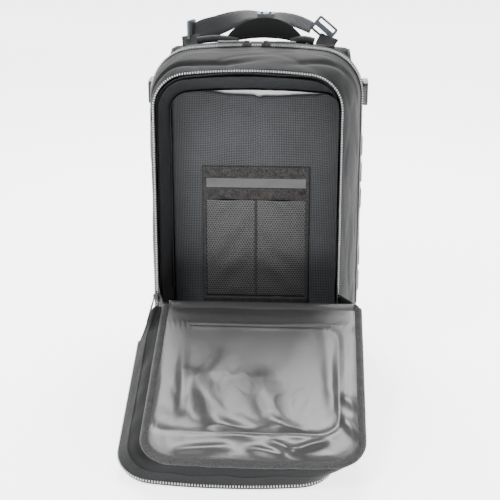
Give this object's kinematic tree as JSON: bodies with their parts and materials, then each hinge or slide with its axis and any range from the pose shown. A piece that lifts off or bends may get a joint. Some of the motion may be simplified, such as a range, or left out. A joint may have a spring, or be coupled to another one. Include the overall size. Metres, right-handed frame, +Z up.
{
  "type": "trauma backpack",
  "caption": "Upright padded backpack with a zipped main compartment, a fold-down front panel with a pouch, inner pockets, shoulder straps, side buckles and a haul handle.",
  "frame": {"origin": "centre of the flat base, on the surface that the pack stands on", "axes": "+Z up, +Y towards the wearer's back, -Y out of the front opening"},
  "size_m": [0.3096, 0.5409, 0.4988],
  "materials": {
    "slider_metal": "gunmetal, satin",
    "ring_metal": "black enamel",
    "buckle_plastic": "moulded acetal, satin",
    "zip_teeth": "coil teeth, satin",
    "zip_tape": "woven tape",
    "webbing": "ribbed polypropylene webbing",
    "sheet_plastic": "HDPE sheet",
    "coated_lining": "polyurethane-coated side of the cloth, slightly shiny",
    "vinyl": "soft clear vinyl over black cloth",
    "loop_tape": "loop pile",
    "mesh": "hexagonal nylon mesh",
    "binding_tape": "grosgrain tape",
    "padding": "foam in spacer mesh",
    "pack_cloth": "600-denier woven polyester"
  },
  "bodies": {
    "pack": {"anchor_tabs": "webbing", "back_pads": "padding", "back_panel": "pack_cloth", "base_pad": "padding", "divider_panel": "pack_cloth", "frame_sheet": "sheet_plastic", "front_gusset": "pack_cloth", "front_lining": "coated_lining", "front_lower_panel": "pack_cloth", "front_zip_tape": "zip_tape", "front_zip_teeth": "zip_teeth", "hydration_sleeve": "pack_cloth", "lower_webbings": "webbing", "main_zip_tape": "zip_tape", "main_zip_teeth": "zip_teeth", "mesh_pockets": "mesh", "organiser_panel": "vinyl", "organiser_strips": "loop_tape", "rear_shell": "pack_cloth", "side_front_webbing": "webbing", "side_sockets": "buckle_plastic", "side_webbing": "webbing", "slip_pocket_lining": "coated_lining", "yoke_adjusters": "buckle_plastic", "yoke_webbings": "webbing"},
    "front_flap": {"flap_panel": "pack_cloth", "flap_lining": "coated_lining", "flap_binding": "binding_tape", "pouch_shell": "pack_cloth", "pouch_zip": "zip_tape", "pouch_molle": "webbing", "id_patch": "loop_tape", "flap_gusset": "pack_cloth"},
    "flap_zip_rim": {"rim_zip_tape": "zip_tape", "rim_zip_teeth": "zip_teeth"},
    "pouch_slider": {"pouch_slider": "slider_metal"},
    "pouch_pull": {"pouch_pull": "slider_metal"},
    "haul_handle": {"haul_handle": "webbing"},
    "main_slider_left": {"main_slider_left": "slider_metal"},
    "main_pull_left": {"main_pull_left": "slider_metal"},
    "front_slider_left": {"front_slider_left": "slider_metal"},
    "front_pull_left": {"front_pull_left": "slider_metal"},
    "strap_left": {"strap_pad_left": "padding", "strap_adjuster_left": "buckle_plastic"},
    "d_ring_left": {"d_ring_left": "ring_metal"},
    "sternum_left": {"sternum_webbing_left": "webbing", "sternum_buckle_left": "buckle_plastic"},
    "side_plug_left": {"side_plug_left": "buckle_plastic"},
    "main_slider_right": {"main_slider_right": "slider_metal"},
    "main_pull_right": {"main_pull_right": "slider_metal"},
    "front_slider_right": {"front_slider_right": "slider_metal"},
    "front_pull_right": {"front_pull_right": "slider_metal"},
    "strap_right": {"strap_pad_right": "padding", "strap_adjuster_right": "buckle_plastic"},
    "d_ring_right": {"d_ring_right": "ring_metal"},
    "sternum_right": {"sternum_webbing_right": "webbing", "sternum_buckle_right": "buckle_plastic"},
    "side_plug_right": {"side_plug_right": "buckle_plastic"}
  },
  "joints": [
    {"name": "flap_fold", "type": "hinge", "parent": "pack", "child": "front_flap", "pos_m": [0, -0.112, 0.135], "axis": [-1, 0, 0], "range_deg": [0, 110.5], "deforming": ["flap_gusset"]},
    {"name": "rim_hang", "type": "slide", "parent": "front_flap", "child": "flap_zip_rim", "axis": [0.1159, -0.5554, 0.8235], "range_m": [0, 0.07785], "deforming": ["rim_zip_tape", "rim_zip_teeth", "flap_gusset"]},
    {"name": "pouch_slider_travel", "type": "slide", "parent": "front_flap", "child": "pouch_slider", "axis": [1, 0, 0], "range_m": [0, 0.105]},
    {"name": "pouch_pull_swing", "type": "hinge", "parent": "pouch_slider", "child": "pouch_pull", "pos_m": [-0.052, -0.33123, 0.01834], "axis": [0, -0.3502, 0.9367], "range_deg": [0, 120]},
    {"name": "haul_handle_swing", "type": "hinge", "parent": "pack", "child": "haul_handle", "pos_m": [0.007, 0.103, 0.4545], "axis": [1, 0, 0], "range_deg": [0, 70]},
    {"name": "main_slider_left_travel", "type": "hinge", "parent": "pack", "child": "main_slider_left", "pos_m": [0, 0.017, -0.408], "axis": [0, -1, 0], "range_deg": [0, 3.7]},
    {"name": "main_pull_left_swing", "type": "hinge", "parent": "main_slider_left", "child": "main_pull_left", "pos_m": [-0.01299, 0.017, 0.4674], "axis": [0, 1, 0], "range_deg": [0, 95]},
    {"name": "front_slider_left_travel", "type": "slide", "parent": "pack", "child": "front_slider_left", "axis": [0, 0, 1], "range_m": [0, 0.245]},
    {"name": "front_pull_left_swing", "type": "hinge", "parent": "front_slider_left", "child": "front_pull_left", "pos_m": [-0.137, -0.064, 0.127], "axis": [0, 1, 0], "range_deg": [0, 140]},
    {"name": "strap_left_lift", "type": "hinge", "parent": "pack", "child": "strap_left", "pos_m": [-0.09, 0.134, 0.4255], "axis": [1, 0, 0], "range_deg": [0, 45], "deforming": ["lower_webbings"]},
    {"name": "d_ring_left_swing", "type": "hinge", "parent": "strap_left", "child": "d_ring_left", "pos_m": [-0.092, 0.159, 0.358], "axis": [1, 0, 0], "range_deg": [0, 120]},
    {"name": "sternum_left_swing", "type": "hinge", "parent": "strap_left", "child": "sternum_left", "pos_m": [-0.092, 0.1593, 0.318], "axis": [0, -1, 0], "range_deg": [0, 85]},
    {"name": "side_plug_left_pull", "type": "slide", "parent": "pack", "child": "side_plug_left", "axis": [0, -1, 0], "range_m": [0, 0.028], "deforming": ["side_front_webbing"]},
    {"name": "main_slider_right_travel", "type": "hinge", "parent": "pack", "child": "main_slider_right", "pos_m": [0, 0.017, -0.408], "axis": [0, 1, 0], "range_deg": [0, 3.7]},
    {"name": "main_pull_right_swing", "type": "hinge", "parent": "main_slider_right", "child": "main_pull_right", "pos_m": [0.01299, 0.017, 0.4674], "axis": [0, -1, 0], "range_deg": [0, 95]},
    {"name": "front_slider_right_travel", "type": "slide", "parent": "pack", "child": "front_slider_right", "axis": [0, 0, 1], "range_m": [0, 0.245]},
    {"name": "front_pull_right_swing", "type": "hinge", "parent": "front_slider_right", "child": "front_pull_right", "pos_m": [0.121, -0.064, 0.127], "axis": [0, -1, 0], "range_deg": [0, 140]},
    {"name": "strap_right_lift", "type": "hinge", "parent": "pack", "child": "strap_right", "pos_m": [0.09, 0.134, 0.4255], "axis": [1, 0, 0], "range_deg": [0, 45], "deforming": ["lower_webbings"]},
    {"name": "d_ring_right_swing", "type": "hinge", "parent": "strap_right", "child": "d_ring_right", "pos_m": [0.092, 0.159, 0.358], "axis": [1, 0, 0], "range_deg": [0, 120]},
    {"name": "sternum_right_swing", "type": "hinge", "parent": "strap_right", "child": "sternum_right", "pos_m": [0.092, 0.1593, 0.318], "axis": [0, 1, 0], "range_deg": [0, 85]},
    {"name": "side_plug_right_pull", "type": "slide", "parent": "pack", "child": "side_plug_right", "axis": [0, -1, 0], "range_m": [0, 0.028], "deforming": ["side_front_webbing"]}
  ],
  "couplings": [
    {"joint": "rim_hang", "follows": "flap_fold", "m_per_rad": 0.040264}
  ]
}
